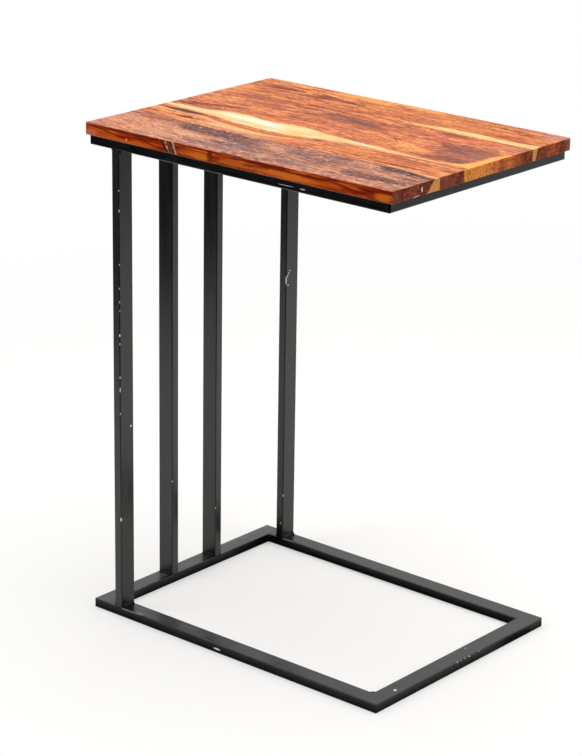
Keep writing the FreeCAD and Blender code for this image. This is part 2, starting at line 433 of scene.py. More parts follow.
# Edges of the purple-brown band along the back of board 1
BAND_FRONT_EDGE = [
    (-250, -104), (-165, -106), (-133, -120), (-76, -123), (-46, -126), (1, -137), (40, -134), (250, -120)]
BAND_BACK_EDGE = [
    (-250, -100), (-170, -98), (-145, -96), (-80, -97), (-19, -103), (5, -118), (40, -128), (250, -120)]
BAND_REACH = (-150, -90)
# Rim of the golden wood in the open front corner of board 3: distance across, then along
GOLD_RIM = [
    (-35, 190), (-34, 197), (-31, 214), (-27, 222), (-23, 228), (-15, 233), (-7, 236), (8, 238), (32, 238),
    (45, 243), (60, 252), (97, 260)]
SPAN = (-250, 250)
LENS_REACH = (-75, 0)
WOOD_BEFORE_LENS = 44         # mean width of the wood between the first seam and the lens
WOOD_BEHIND_LENS = 112        # and between the lens and the third seam
STRIP_REACH = (90, 120)
GOLD_SPAN = (-35, 97)
GOLD_REACH = (180, 270)

DARK_CRACK = rgb(41, 12, 6)
DARK_RED = rgb(140, 52, 26)
BROWN_RED = rgb(178, 88, 51)
BAND = rgb(88, 48, 46)
PURPLE = rgb(148, 80, 62)
BLUE_GREY = rgb(130, 105, 112)
GREY_PURPLE = rgb(149, 99, 94)
RED = rgb(205, 96, 48)
ORANGE = rgb(224, 132, 69)
AMBER = rgb(249, 167, 85)
SALMON = rgb(226, 149, 113)
PEACH = rgb(240, 179, 138)
CREAM = rgb(232, 212, 166)
WHITE_SAP = rgb(234, 224, 204)
YELLOW_SAP = rgb(238, 190, 118)
TAN = rgb(230, 158, 96)

# Each board: the colours of its grain from dark to light, then groups of marks of one colour. A mark
# is its middle along and across the top, half length, half width, strength and, if it leans, slope.
BOARDS = {
    1: (shades((0.26, 138, 82, 68), (0.4, 164, 104, 87), (0.5, 190, 128, 104), (0.6, 211, 143, 113),
               (0.74, 238, 176, 140)), [
        (SALMON, (-215, -140, 58, 40, 0.75), (-140, -142, 62, 26, 0.6)),
        (RED, (-212, -154, 15, 7, 0.4)), (BROWN_RED, (-208, -103, 26, 6, 0.8), (-168, -98, 26, 6, 0.8)),
        (PEACH, (-100, -140, 44, 9, 0.85, -0.2), (-129, -157, 44, 8, 0.5)),
        (GREY_PURPLE, (-46, -150, 60, 16, 0.5)),
        (BLUE_GREY, (-24, -139, 34, 9, 0.8, -0.1), (-52, -162, 44, 8, 0.6)),
        (BAND, (-16, -128, 30, 10, 0.25, -0.2)), (rgb(206, 178, 140), (30, -157, 10, 6, 0.6)),
        (GREY_PURPLE, (55, -120, 28, 12, 0.85)), (BLUE_GREY, (76, -158, 28, 8, 0.75)),
        (GREY_PURPLE, (92, -107, 44, 9, 0.8), (60, -148, 22, 9, 0.6), (126, -120, 26, 9, 0.6)),
        (BAND, (182, -146, 42, 14, 0.75)), (rgb(132, 78, 70), (186, -145, 26, 7, 0.8)),
        (BAND, (222, -150, 20, 10, 0.6), (202, -100, 40, 11, 1), (226, -124, 26, 10, 0.4)),
        (SALMON, (160, -126, 40, 7, 0.3), (224, -177, 22, 4, 0.6)),
    ]),
    2: (shades((0.26, 178, 92, 54), (0.4, 212, 116, 66), (0.5, 234, 140, 82), (0.6, 236, 153, 95),
               (0.74, 249, 194, 140)), [
        (rgb(248, 196, 152), (-85, -76, 66, 7, 0.95)), (YELLOW_SAP, (-110, -67, 50, 4, 0.7, -0.1)),
        (AMBER, (-205, -60, 40, 8, 0.5, -0.1)), (RED, (-238, -70, 15, 8, 0.6)),
        (DARK_RED, (-173, -70, 20, 5.6, 0.7, 0.05)), (DARK_CRACK, (-173, -70, 13, 3.4, 0.9, 0.05)),
        (rgb(176, 74, 40), (172, -80, 46, 4.6, 1)), (RED, (90, -84, 40, 3, 0.5)),
        (PEACH, (200, -46, 40, 3, 0.6)), (ORANGE, (120, -62, 90, 8, 0.5)), (RED, (30, -82, 60, 5, 0.5)),
        (BROWN_RED, (236, -62, 20, 10, 0.4)),
    ]),
    3: (shades((0.24, 150, 70, 44), (0.38, 192, 98, 60), (0.5, 220, 124, 78), (0.62, 238, 145, 86),
               (0.76, 246, 175, 108)), [
        (rgb(158, 66, 38), (-199, 3, 42, 7.5, 1, 0.3)), (DARK_RED, (-160, 15, 20, 4, 0.4, 0.1)),
        (RED, (-100, 9, 30, 4.6, 0.85, 0.18)), (DARK_RED, (-98, 8, 22, 2.6, 0.6, 0.18)),
        (RED, (-60, 0, 46, 6, 0.6)), (AMBER, (-205, 40, 40, 12, 0.35), (-124, 29, 34, 9, 0.5)),
        (BROWN_RED, (-176, 77, 50, 9, 0.8), (-130, 85, 28, 7, 0.9), (-140, 52, 40, 8, 0.5)),
        (DARK_RED, (-88, 75, 28, 5, 0.7), (-90, 92, 24, 5, 0.75), (-30, 88, 34, 5, 0.55)),
        (PURPLE, (-80, 58, 32, 9, 0.4), (-38, 69, 30, 7.5, 0.95, -0.1), (-24, 56, 32, 12, 0.7, -0.1),
                 (12, 58, 36, 13, 1, -0.1)),
        (BROWN_RED, (38, 43, 30, 9, 0.8), (-48, 92, 24, 4, 0.4), (70, 66, 50, 9, 0.5)),
        (RED, (114, 89, 22, 6, 0.8)), (PURPLE, (138, 88, 26, 8, 1), (205, 26, 44, 44, 0.7)),
        (RED, (185, 68, 20, 6, 0.8)), (PURPLE, (192, 36, 30, 12, 0.8)),
        (GREY_PURPLE, (212, 22, 20, 10, 0.7)), (BLUE_GREY, (205, -13, 24, 7, 0.8)),
        (PURPLE, (203, -14, 38, 13, 1)), (BROWN_RED, (172, -22, 26, 6, 0.8)),
        (SALMON, (232, 82, 26, 10, 0.5)), (AMBER, (113, 12, 20, 9, 0.85), (137, -3, 28, 12, 0.9)),
        (PEACH, (128, 4, 12, 6, 0.5)), (RED, (104, 27, 10, 3.4, 0.7), (122, 21, 11, 3.4, 0.7, 0.3)),
        (BROWN_RED, (97, 10, 10, 4, 0.6, 0.6)), (RED, (122, -8, 9, 3, 0.7, 0.8)),
        (rgb(206, 114, 62), (64, 6, 40, 12, 0.6)),
    ]),
    4: (shades((0.24, 166, 74, 36), (0.38, 199, 103, 54), (0.5, 217, 125, 70), (0.62, 236, 146, 80),
               (0.76, 252, 178, 98)), [
        (DARK_RED, (-196, 141, 28, 6, 0.9), (-176, 145, 24, 5.4, 0.85)),
        (BROWN_RED, (-221, 136, 22, 5, 0.7)),
        (DARK_RED, (-134, 131, 26, 6, 0.8), (-114, 141, 26, 8, 0.9), (-76, 136, 30, 5.4, 0.95)),
        (BROWN_RED, (-150, 116, 40, 6, 0.5)), (RED, (-129, 174, 26, 5, 0.7)),
        (AMBER, (-72, 170, 60, 11, 1), (10, 174, 50, 9, 0.95), (66, 172, 56, 6, 0.6)),
        (RED, (79, 112, 24, 4, 0.8)), (BROWN_RED, (84, 124, 50, 8, 0.5), (130, 160, 60, 9, 0.35)),
        (RED, (190, 119, 44, 5, 0.8)), (ORANGE, (140, 139, 46, 9, 0.7)),
        (BROWN_RED, (205, 152, 26, 8, 0.3)), (DARK_RED, (205, 152, 8, 4, 0.7)),
        (rgb(206, 142, 120), (236, 165, 26, 16, 0.8)), (AMBER, (-240, 116, 16, 8, 0.5)),
    ]),
}

# The same for the long front edge of the top, whose marks have a height in place of a place across
FRONT_ORANGE = rgb(214, 98, 24)
FRONT_AMBER = rgb(226, 120, 36)
FRONT_DARK = rgb(96, 14, 3)
FRONT_MARKS = [
    (FRONT_ORANGE, (-226, 660, 30, 6, 0.6)), (SALMON, (-240, 660, 12, 4, 0.35)),
    (FRONT_DARK, (-229, 667.5, 22, 1.3, 0.7, -0.1), (-196, 663.5, 36, 1.1, 0.75, -0.14)),
    (FRONT_ORANGE, (-180, 657.5, 40, 2.6, 0.7)),
    (FRONT_DARK, (-178, 669, 30, 2.4, 0.6), (-136, 661.5, 16, 1.2, 0.7, -0.12)),
    (FRONT_ORANGE, (-150, 658, 24, 2.6, 0.6)),
    (FRONT_DARK, (-85, 662, 15, 9, 0.55), (-112, 658, 10, 4, 0.5)),
    (FRONT_AMBER, (-52, 661, 18, 4, 0.8)), (FRONT_ORANGE, (-74, 662, 14, 4, 0.5)),
    (FRONT_DARK, (-35, 664, 5, 8, 0.75)), (FRONT_AMBER, (5, 660.5, 30, 3, 0.6)),
    (FRONT_DARK, (26, 667.6, 32, 2.2, 0.7), (34, 662.5, 14, 1.6, 0.8), (90, 666, 60, 2, 0.6)),
    (FRONT_AMBER, (88, 661, 50, 3.6, 0.85)), (FRONT_ORANGE, (152, 661, 26, 3, 0.6)),
    (FRONT_DARK, (172, 664, 18, 1.8, 0.7, -0.1), (206, 661, 16, 3, 0.35, 0.2), (222, 667, 24, 2.2, 0.4)),
    (FRONT_AMBER, (236, 661, 12, 4, 0.8)),
]
SIDE_GRAIN = shades((0.24, 104, 14, 2), (0.4, 146, 36, 3), (0.52, 176, 58, 6), (0.64, 204, 88, 18),
                    (0.78, 232, 128, 60))

# Bands of colour across the end grain of each board, from front to back
MAROON = rgb(114, 48, 33)
LIGHT_MAROON = rgb(140, 72, 52)
END_GOLD = rgb(240, 157, 69)
END_BROWN = rgb(173, 86, 44)
END_ORANGE = rgb(219, 122, 67)
END_DARK = rgb(126, 60, 39)
END_PINK = rgb(161, 96, 81)
END_BANDS = {
    1: [(-181, LIGHT_MAROON), (-160, MAROON), (-143, LIGHT_MAROON), (-124, MAROON), (-91, MAROON)],
    2: [(-91, LIGHT_MAROON), (-70, LIGHT_MAROON), (-50, MAROON), (-36, LIGHT_MAROON)],
    3: [(-34, END_GOLD), (-8, END_GOLD), (25, END_ORANGE), (32, END_BROWN), (48, END_ORANGE),
        (66, END_BROWN), (82, END_DARK), (97, END_DARK)],
    4: [(97, END_DARK), (116, END_DARK), (140, END_BROWN), (160, END_DARK), (181, END_PINK)],
}
PITH_PLACES = (SEAM_1 - 60, SEAM_1 + 10, SEAM_2 + 50, SEAM_3 + 60)    # of each board's tree
PITH_HEIGHT = 640


def lens_edges(pen, x):
    """The back and the front edge of the sapwood lens at a distance along the top."""
    return [pen.curve(x, edge, SPAN, LENS_REACH) for edge in (LENS_BACK_EDGE, LENS_FRONT_EDGE)]


def grain_line(pen, number, x, y):
    """Distance across the grain, whose lines run beside the lens near it and straight elsewhere."""
    if number == 1:
        return y - pen.rise(x, -70, -250) * 24
    if number == 4:
        return y
    back, front = lens_edges(pen, x)
    if number == 2:
        knot = pen.oval(x, y, (27, -51), (30, 12), fade=(1, 0))
        return (front - y) / (front - SEAM_1) * -WOOD_BEFORE_LENS + knot * 4
    swirl = pen.oval(x, y, (128, 6), (50, 26), fade=(1, 0))
    return (y - back) / (SEAM_3 - back) * WOOD_BEHIND_LENS + swirl * 18


def mark(pen, groups, along, across, fray, share):
    """Lays groups of marks over the pen's colour, frayed along the grain."""
    for tint, *marks in groups:
        for middle_along, middle_across, half_along, half_across, strength, *slope in marks:
            inside = pen.oval(along, across, (middle_along, middle_across), (half_along, half_across),
                              *slope, fray=fray)
            pen.coat(tint, inside * share * strength)


def lens_figure(pen, place, streaks, fibres, sap_fray, upper):
    """The cream sapwood that boards 2 and 3 share."""
    x, y, _ = place
    back, front = lens_edges(pen, x)
    inside = pen.rise(y + sap_fray - front, -1, 4) * pen.rise(back - y + sap_fray, -1.5, 6)
    bright = pen.grain(place, (60, 9, 12), 3, 3)
    core = pen.oval(x, y, (-96, -27), (74, 15), -0.12, fade=(1.2, 0.1)) * 0.3
    sap = pen.ramp(bright * 0.8 + core + (streaks - 0.5) * 0.4,
                   [(0.34, YELLOW_SAP), (0.5, CREAM), (0.64, WHITE_SAP)])
    sap = pen.mix(sap, YELLOW_SAP, pen.rise(x, 0, 170) * 0.75 + pen.rise(x, -165, -215) * 0.4)
    low_half = pen.rise(y - (front * 0.6 + back * 0.4), 3, -4)
    sap = pen.mix(sap, TAN, pen.rise(streaks * 0.6 + fibres * 0.4, 0.5, 0.62) * low_half * 0.6)
    pen.coat(sap, inside * upper * pen.rise(x, 236, 182))


def red_line_figure(pen, x, y, streaks, fibres, mottle, fray, upper):
    """The red-brown line beside the lens in board 2, with its dark start, its knot and a pale speck."""
    line = pen.curve(x, RED_LINE, SPAN, LENS_REACH)
    beside = pen.rise(abs(y - line + 6 + (streaks - 0.5) * 6), 5, 2)
    pen.coat(AMBER, beside * upper * pen.rise(x, 20, -40) * 0.7)
    gap = abs(y - line + (fibres - 0.5) * 2)
    broken = pen.rise(streaks + mottle, 0.75, 1.05) * 0.4 + 0.6
    thick = pen.rise(x, -60, -190) * 0.6 + pen.rise(x, 110, -20) * 1.4 + 2
    pen.coat(BROWN_RED, pen.rise(gap - thick, 1.2, -1.4) * upper * broken * 0.95)
    for tint, middle, halves, slope, frayed, fade, strength in (
            (rgb(86, 36, 32), (-201, -46.5), (32, 5.4), -0.05, 0.7, (1.35, 0.85), 1),
            (rgb(84, 40, 22), (27, -51), (9, 4), 0, 0.5, (1.1, 0.6), 0.9),
            (CREAM, (-166, -65), (4, 1.8), 0, 1, (1.2, 0.5), 0.7)):
        pen.coat(tint, pen.oval(x, y, middle, halves, slope, fray * frayed, fade) * upper * strength)


def bark_figure(pen, x, z, mottle):
    """The open bark crack in the front edge, with its hollow and two pale rims of bark."""
    ragged = (mottle - 0.5) * 5 + (pen.noise(x * 0.5, 0, z * 0.3 + 40) - 0.5) * 3

    def line(foot, lean, fade_from, fade_to):
        """1 in a leaning line that starts at -foot on the top's underside."""
        return pen.rise(abs(x + foot + (z - TOP_UNDERSIDE) * lean + ragged), fade_from, fade_to)

    pen.coat(rgb(98, 54, 34), line(98.5, 0.25, 11, 6) * 0.8)
    rims = pen.most(line(104.9, 0.3, 2, 0.8) * 0.8, line(90.6, 0.5, 1.9, 0.7))
    pen.coat(rgb(206, 178, 156), rims * pen.rise(pen.noise(x * 0.25, 3, z * 0.22), 0.34, 0.48))
    pen.coat(DARK_CRACK, line(105.5, 0.84375, 2.4, 1) * 0.9)


def long_edge(pen, number, place, deep, wobble, mottle, fray, seed):
    """The long edges: deep orange-red lines; the front one has marks of its own and the crack."""
    x, y, z = place
    lines = pen.grain((x, y, deep), (46, 10, 2.2), seed + 31, 3, 0.6)
    drift = pen.grain(place, (60, 10, 9), seed + 33)
    pen.colour = pen.ramp((lines * 0.55 + drift * 0.45 - 0.5) * 2 + 0.5, SIDE_GRAIN)
    if number == 1:
        side_fray = (lines - 0.5) * 1.8 + (mottle - 0.5) * 0.8
        mark(pen, FRONT_MARKS, x, z + wobble * 1.5, side_fray, 1)
        pen.coat(FRONT_DARK, pen.rise(z, 667.5, 670.5) * 0.5)
        bark_figure(pen, x, z, mottle)
        pen.coat(PEACH, pen.oval(x, z, (-176, 660), (1.5, 1.9), 0, fray, (1.2, 0.6)) * 0.8)
    pen.coat(SALMON, pen.rise(z, TOP_UNDERSIDE + 1.2, TOP_UNDERSIDE + 0.2) * 0.5)


def end_grain(pen, number, place, wobble, mottle, fray, seed):
    """The ends: bands of colour from board to board, growth rings and open pores."""
    x, y, z = place
    band_place = (y + (mottle - 0.5) * 6 + TOP_HALF_WIDTH) * (1 / (2 * TOP_HALF_WIDTH))
    pen.colour = pen.ramp(band_place, [((spot + TOP_HALF_WIDTH) / (2 * TOP_HALF_WIDTH), tint)
                                       for spot, tint in END_BANDS[number]])
    ring_y = y - PITH_PLACES[number - 1] + (pen.grain(place, (50, 14, 8), seed) - 0.5) * 9
    ring_z = z - PITH_HEIGHT
    ring = pen.math("SQRT", ring_y * ring_y * 0.35 + ring_z * ring_z)
    rings = pen.noise(ring * (1 / 2.4), y * 0.02 + seed, 0, 3, 0.7)
    specks = pen.noise(x * 0.1, y * (1 / 1.5) + wobble * 2, z * (1 / 6) + seed, 3, 0.6)
    blotch = pen.grain(place, (10, 5, 4), seed, 3, 0.65)
    shade = pen.ramp((rings * 0.15 + specks * 0.4 + blotch * 0.45 - 0.5) * 1.6 + 0.5,
                     shades((0.28, 150, 128, 118), (0.5, 232, 226, 222), (0.72, 255, 255, 255)))

    def shaded(tint):
        return pen.mix(tint, shade, 1, "MULTIPLY")

    pen.coat(END_ORANGE, pen.rise(blotch, 0.53, 0.66) * 0.4)
    pen.coat(MAROON, pen.rise(blotch, 0.47, 0.34) * 0.45)
    pen.coat(shade, 1, "MULTIPLY")
    if number == 1:
        open_end = pen.rise(x, 0, 10)
        wide = (TOP_FACE - z) * 1.05 + 9
        pen.coat(shaded(TAN), pen.rise(y - SEAM_1 + wide + (mottle - 0.5) * 4, -1.5, 1.5) * open_end)
        nick = pen.oval(y, z, (-125, 663), (1.1, 3.6), -0.35, fray * 0.6, (1.2, 0.6))
        nicks = pen.oval(y, z, (-137, 656), (9, 1), 0.1, fray, (1, 0.5))
        pen.coat(rgb(246, 214, 180), pen.most(nick, nicks * 0.7) * open_end)
    if number == 2:
        gold = pen.rise(y + 44 + (z - TOP_UNDERSIDE) * 0.45 + (mottle - 0.5) * 3, -1, 1)
        pen.coat(shaded(END_GOLD), gold * pen.rise(y, -45, -41))
    if number == 4:
        strip_back = (z - TOP_UNDERSIDE) * 0.28 + 103.5
        pen.coat(shaded(TAN), pen.rise(strip_back - y + (mottle - 0.5) * 2, -0.8, 0.8))
    end_pores = pen.grain(place, (10, 0.8, 0.8), 0, 0)
    pen.coat(DARK_CRACK, pen.rise(end_pores, 0.62, 0.74) * 0.4)


def wood(number):
    """Oiled hardwood of one board."""
    grain_colours, marks = BOARDS[number]
    seed = 17.3 * number
    pen = material_pen("oiled_hardwood_%d" % number)
    place = x, y, z = pen.place()
    face_x, face_y, face_z = pen.normal()
    upper = pen.rise(face_z, 0.2, 0.75)
    end = pen.rise(abs(face_x), 0.5, 0.85)

    # Grain: a slow wander and a small wobble of lines that run along the board
    wander = pen.grain(place, (130, 46, 50), seed) - 0.5
    wobble = pen.grain(place, (26, 10, 10), seed) - 0.5
    deep = z + wander * 12
    line = (x, grain_line(pen, number, x, y) + wander * 16 + wobble * 5, deep)
    clouds = pen.grain(line, (74, 17, 26), seed, 4, 0.6, 0.7)
    mottle = pen.grain((x, y, deep), (17, 8, 9), seed + 3, 3, 0.6, 1.6)
    streaks = pen.grain(line, (42, 4.6, 5), seed + 5, 3, 0.6)
    fibres = pen.grain(line, (13, 1.2, 1.3), seed + 9, 2, 0.6)
    flecks = pen.grain(line, (8, 2.4, 2), seed + 13, 2, 0.6)
    tone = clouds * 0.38 + mottle * 0.28 + streaks * 0.22 + fibres * 0.12
    pen.colour = pen.ramp((tone - 0.5) * 2.5 + 0.5, grain_colours)

    # The upper face's figure
    fray = (streaks - 0.5) + (fibres - 0.5) * 0.5 + (mottle - 0.5) * 0.9 + (clouds - 0.5) * 0.4
    mark(pen, marks, x, y + wobble * 3, fray, upper)
    pen.coat(pen.ramp((streaks - 0.5) * 1.5 + (fibres - 0.5) * 0.8 + 0.5,
                      shades((0.12, 160, 134, 122), (0.5, 248, 247, 247), (0.85, 255, 255, 252))),
             1, "MULTIPLY")
    dark_fleck = (156, 128, 118) if number == 1 else (184, 166, 160)
    pen.coat(pen.ramp(flecks, shades((0.28, *dark_fleck), (0.48, 243, 240, 238), (0.7, 255, 255, 253))),
             1, "MULTIPLY")
    sap_fray = (fibres - 0.5) * 3 + (streaks - 0.5) * 5
    patches = streaks * 0.6 + mottle * 0.4
    if number in (2, 3):
        lens_figure(pen, place, streaks, fibres, sap_fray, upper)
    if number == 2:
        red_line_figure(pen, x, y, streaks, fibres, mottle, fray, upper)
    if number == 3:
        rim = pen.curve(y, GOLD_RIM, GOLD_SPAN, GOLD_REACH)
        gold = pen.ramp(patches, [(0.3, ORANGE), (0.5, AMBER), (0.7, YELLOW_SAP)])
        pen.coat(gold, pen.rise(x - rim + sap_fray * 0.8, -3, 4) * upper)
    if number == 4:
        front = pen.curve(x, STRIP_FRONT_EDGE, SPAN, STRIP_REACH)
        back = pen.curve(x, STRIP_BACK_EDGE, SPAN, STRIP_REACH)
        inside = (pen.rise(y - front + sap_fray * 0.3, -1, 2.5)
                  * pen.rise(back - y + sap_fray * 0.3, -1.5, 2.5))
        sap = pen.ramp(patches, [(0.34, TAN), (0.5, YELLOW_SAP), (0.66, CREAM)])
        pen.coat(sap, inside * upper * pen.rise(x, 2, 34))
    if number == 1:
        front = pen.curve(x, BAND_FRONT_EDGE, SPAN, BAND_REACH)
        back = pen.curve(x, BAND_BACK_EDGE, SPAN, BAND_REACH)
        frayed = y + (fray + mottle - 0.5) * 9
        inside = pen.rise(frayed - front, -3, 2.5) * pen.rise(back - frayed, -4, 0.5)
        inside = inside * pen.rise(x + fray * 40, -165, -140) * pen.rise(x, 14, -50)
        pen.coat(pen.mix(BAND, GREY_PURPLE, pen.rise(streaks, 0.48, 0.7) * 0.55), inside * upper)
        width = pen.most((x - 176) * 0.12, 0)
        wedge = pen.rise(y - SEAM_1 + width + sap_fray * 0.4, -1, 1.6) * pen.rise(width, 0, 2)
        pen.coat(pen.ramp(streaks, [(0.3, ORANGE), (0.5, TAN), (0.7, YELLOW_SAP)]), wedge * upper)

    # Pores: short dark dashes; pale and dark flecks are strongest in the first board
    pores = pen.rise(pen.grain(line, (6, 0.6, 0.6), seed + 21, 1), 0.6, 0.74)
    pen.coat(DARK_CRACK, pores * (0.5 if number == 1 else 0.3))
    lift = 0.72 if number == 1 else 0.2
    pen.coat(PEACH, pen.rise(flecks, 0.56, 0.72) * lift)
    pen.coat(PURPLE, pen.rise(flecks, 0.42, 0.28) * lift)

    # The edges, and dark glue lines
    flat = pen.colour
    if number in (1, 4):
        long_edge(pen, number, place, deep, wobble, mottle, fray, seed)
        flat = pen.mix(flat, pen.colour, pen.rise(abs(face_y), 0.5, 0.85))
    end_grain(pen, number, place, wobble, mottle, fray, seed)
    pen.colour = pen.mix(flat, pen.colour, end)
    seam_gap = 9
    for seam in (SEAM_1, SEAM_2, SEAM_3):
        seam_gap = pen.math("MINIMUM", abs(y - seam), seam_gap)
    pen.coat(DARK_CRACK, pen.rise(seam_gap, 0.55, 0.15) * (upper * 0.25 + 0.25))

    pen.set("Base Color", pen.colour)
    rough = (fibres - 0.5) * 0.25 + 0.44 + pores * 0.2 + end * 0.12 + (mottle - 0.5) * 0.15
    pen.set("Roughness", rough + pen.rise(face_z, -0.2, -0.75) * 0.2)
    pen.set("Specular IOR Level", 0.06)
    pen.bump(fibres * 0.4 - pores * 0.8 + streaks * 0.3, 0.12)
    return pen.owner


# ---------------- welds

BEAD_POWER = 1.474            # bends a bead's section to 0.6 of its leg at the middle
BEAD_ARC_STEPS = 8
BEAD_ROW_GAP = 0.3
BEAD_END = 1.6                # a bead grows to its full size over this length
BEAD_END_SIZE = 0.35
FRONT_UPRIGHT_LEGS = (3, 4.8)  # along the rail, then up the upright
UPRIGHT_LEGS = (3, 3.4)
SWOLLEN_END = 0.45            # of one bead at the foot of the back upright
CORNER_SINK = 1               # the corner beads start this far inside the tube walls
CORNER_LEG = 4.2
FRONT_CORNER_LEG = 6          # the large bead of the open front corner
FRONT_CORNER_END_SIZE = 0.92
CORNER_GAP = 0.15             # a corner bead stops this far from the rail's upper and lower face
RIPPLE_PITCH = 1.9
RIPPLE_DEPTH = 0.055
FILL_ROWS = 24
FILL_ARC_STEPS = 6
FILL_END = 1.2
TUBE_WIDE = 25
TUBE_THIN = 12.5
TUBE_CORNER = 1.5
FLAT_WIDE = TUBE_WIDE - 2 * TUBE_CORNER
FLAT_THIN = TUBE_THIN - 2 * TUBE_CORNER
UPRIGHT_BOTTOM = 12.5
UPRIGHT_TOP = 642.5
# Middle of each upright in plan, and whether its wide side runs along the table
UPRIGHTS = ((-199.25, -165.5, False), (-231.5, -44.25, True), (-231.5, 44.25, True), (-199.25, 165.5, False))
INNER_X = 219
INNER_Y = 153
UP = Vector((0, 0, 1))


def ripple(place, angle, seed):
    """Height of the overlapping ripples of a bead: a rounded step for each pool of weld."""
    bow = math.sin(angle) ** 2 * 0.45
    step = place / RIPPLE_PITCH + bow + 0.25 * noise.noise(Vector((place * 0.4, seed, 0)))
    return 1 - 2 * abs((step % 1) - 0.35) ** 1.5


def ring_faces(rows, ring):
    """Faces of a closed bar whose points lie in rings of one size, with its two ends."""
    faces = []
    for row in range(rows):
        for step in range(ring):
            after = (step + 1) % ring
            faces.append((row * ring + step, row * ring + after, (row + 1) * ring + after,
                          (row + 1) * ring + step))
    faces.append(tuple(range(ring)))
    faces.append(tuple(rows * ring + step for step in reversed(range(ring))))
    return faces


def bead_mesh(corner, out_1, out_2, run, legs, seed, blob=0, end_size=BEAD_END_SIZE):
    """Points and faces of a bead in a corner, with a leg on each side; blob swells its far end."""
    length = run.length
    rows = max(8, round(length / BEAD_ROW_GAP))
    points = []
    for row in range(rows + 1):
        share = row / rows
        place = share * length
        taper = min(place, length - place) / BEAD_END
        size = end_size + (1 - end_size) * math.sqrt(min(1, max(0, taper)))
        size *= 1 + 0.05 * noise.noise(Vector((place * 0.25, seed, 3)))
        size += blob * math.exp(-((place - length + BEAD_END) / BEAD_END) ** 2)
        middle = corner + run * share
        points.append(middle)
        for step in range(BEAD_ARC_STEPS + 1):
            angle = math.pi / 2 * step / BEAD_ARC_STEPS
            swell = size * (1 + RIPPLE_DEPTH * math.sin(2 * angle) * ripple(place, 2 * angle, seed))
            first = math.cos(angle) ** BEAD_POWER * legs[0] if step < BEAD_ARC_STEPS else 0
            second = math.sin(angle) ** BEAD_POWER * legs[1]
            points.append(middle + (out_1 * first + out_2 * second) * swell)
    return points, ring_faces(rows, BEAD_ARC_STEPS + 2)


def fill_mesh(edge, inward, down, run, seed):
    """Points and faces of a dressed weld that fills the rounding of a rail's edge, flush outside."""
    length = run.length
    points = []
    for row in range(FILL_ROWS + 1):
        share = row / FILL_ROWS
        place = share * length
        taper = math.sqrt(min(1, min(place, length - place) / FILL_END))
        reach = TUBE_CORNER * (0.35 + 0.45 * taper)
        reach *= 1 + 0.05 * noise.noise(Vector((place * 0.5, seed, 9)))
        middle = edge + run * share
        sink = 0.1 * (1 - taper)
        start = math.asin(1 - reach / TUBE_CORNER)
        points.append(middle + (inward + down) * sink)
        for step in range(FILL_ARC_STEPS + 1):
            angle = start + (math.pi / 2 - 2 * start) * step / FILL_ARC_STEPS
            along_in = TUBE_CORNER * (1 - math.sin(angle))
            along_down = TUBE_CORNER * (1 - math.cos(angle))
            points.append(middle + inward * along_in + down * along_down)
    return points, ring_faces(FILL_ROWS, FILL_ARC_STEPS + 2)


def weld_piece(name, parts):
    """One piece from the meshes of the welds that stand for a CAD node."""
    points = []
    faces = []
    for part_points, part_faces in parts:
        start = len(points)
        points.extend(part_points)
        faces.extend(tuple(start + corner for corner in face) for face in part_faces)
    piece = new_piece("rippled_" + name, points, faces, "black_paint", name)
    piece.data.materials.append(PAINT["weld"])


def upright_welds(name, height, towards):
    """Beads and dressed welds of all uprights at one end; towards is +1 above the base, -1 at the top."""
    parts = []
    for number, (x, y, wide_along) in enumerate(UPRIGHTS):
        across_rail = Vector((1, 0, 0)) if wide_along else Vector((0, 1, 0))
        along_rail = Vector((0, 1, 0)) if wide_along else Vector((1, 0, 0))
        centre = Vector((x, y, height))
        for sign in (-1, 1):
            seed = number * 7.1 + sign * 2.3 + height
            out = along_rail * sign
            corner = centre + out * (TUBE_THIN / 2) - across_rail * (FLAT_WIDE / 2)
            blob = SWOLLEN_END if number == 3 and sign == 1 and towards == 1 else 0
            legs = FRONT_UPRIGHT_LEGS if number == 0 else UPRIGHT_LEGS
            parts.append(bead_mesh(corner, out, UP * towards, across_rail * FLAT_WIDE, legs, seed, blob))
            inward = across_rail * -sign
            edge = centre - inward * (TUBE_WIDE / 2) - along_rail * (FLAT_THIN / 2)
            parts.append(fill_mesh(edge, inward, UP * -towards, along_rail * FLAT_THIN, seed))
    weld_piece(name, parts)


def corner_welds(name, bottom):
    """The upright bead in each inner corner of one frame."""
    run = UP * (TUBE_THIN - 2 * CORNER_GAP)
    parts = []
    for side_x in (-1, 1):
        for side_y in (-1, 1):
            corner = Vector((side_x * (INNER_X + CORNER_SINK), side_y * (INNER_Y + CORNER_SINK),
                             bottom + CORNER_GAP))
            out_x = Vector((-side_x, 0, 0))
            out_y = Vector((0, -side_y, 0))
            seed = side_x * 3 + side_y + bottom
            leg, end_size = CORNER_LEG, BEAD_END_SIZE
            if side_x > 0 > side_y:
                leg, end_size = FRONT_CORNER_LEG, FRONT_CORNER_END_SIZE
            parts.append(bead_mesh(corner, out_x, out_y, run, (leg, leg), seed, end_size=end_size))
    weld_piece(name, parts)


# ---------------- paint and screws

BARE_METAL_AND_HIGHLIGHT = rgb(236, 233, 228)
DUST = rgb(150, 146, 138)
PAINTED_SHEEN_GREY = rgb(66, 64, 62)        # painted sheen: a grey lift on the flat faces of the uprights
DARK_COAT = (0.0016, 0.0016, 0.0019, 1)
PALE_COAT = (0.0042, 0.0042, 0.0044, 1)
RUBBED_COAT = (0.012, 0.012, 0.013, 1)
# Grey of the painted highlight along the upper rounded edges
PAINTED_EDGE_HIGHLIGHT_GREY = (0.085, 0.085, 0.083, 1)

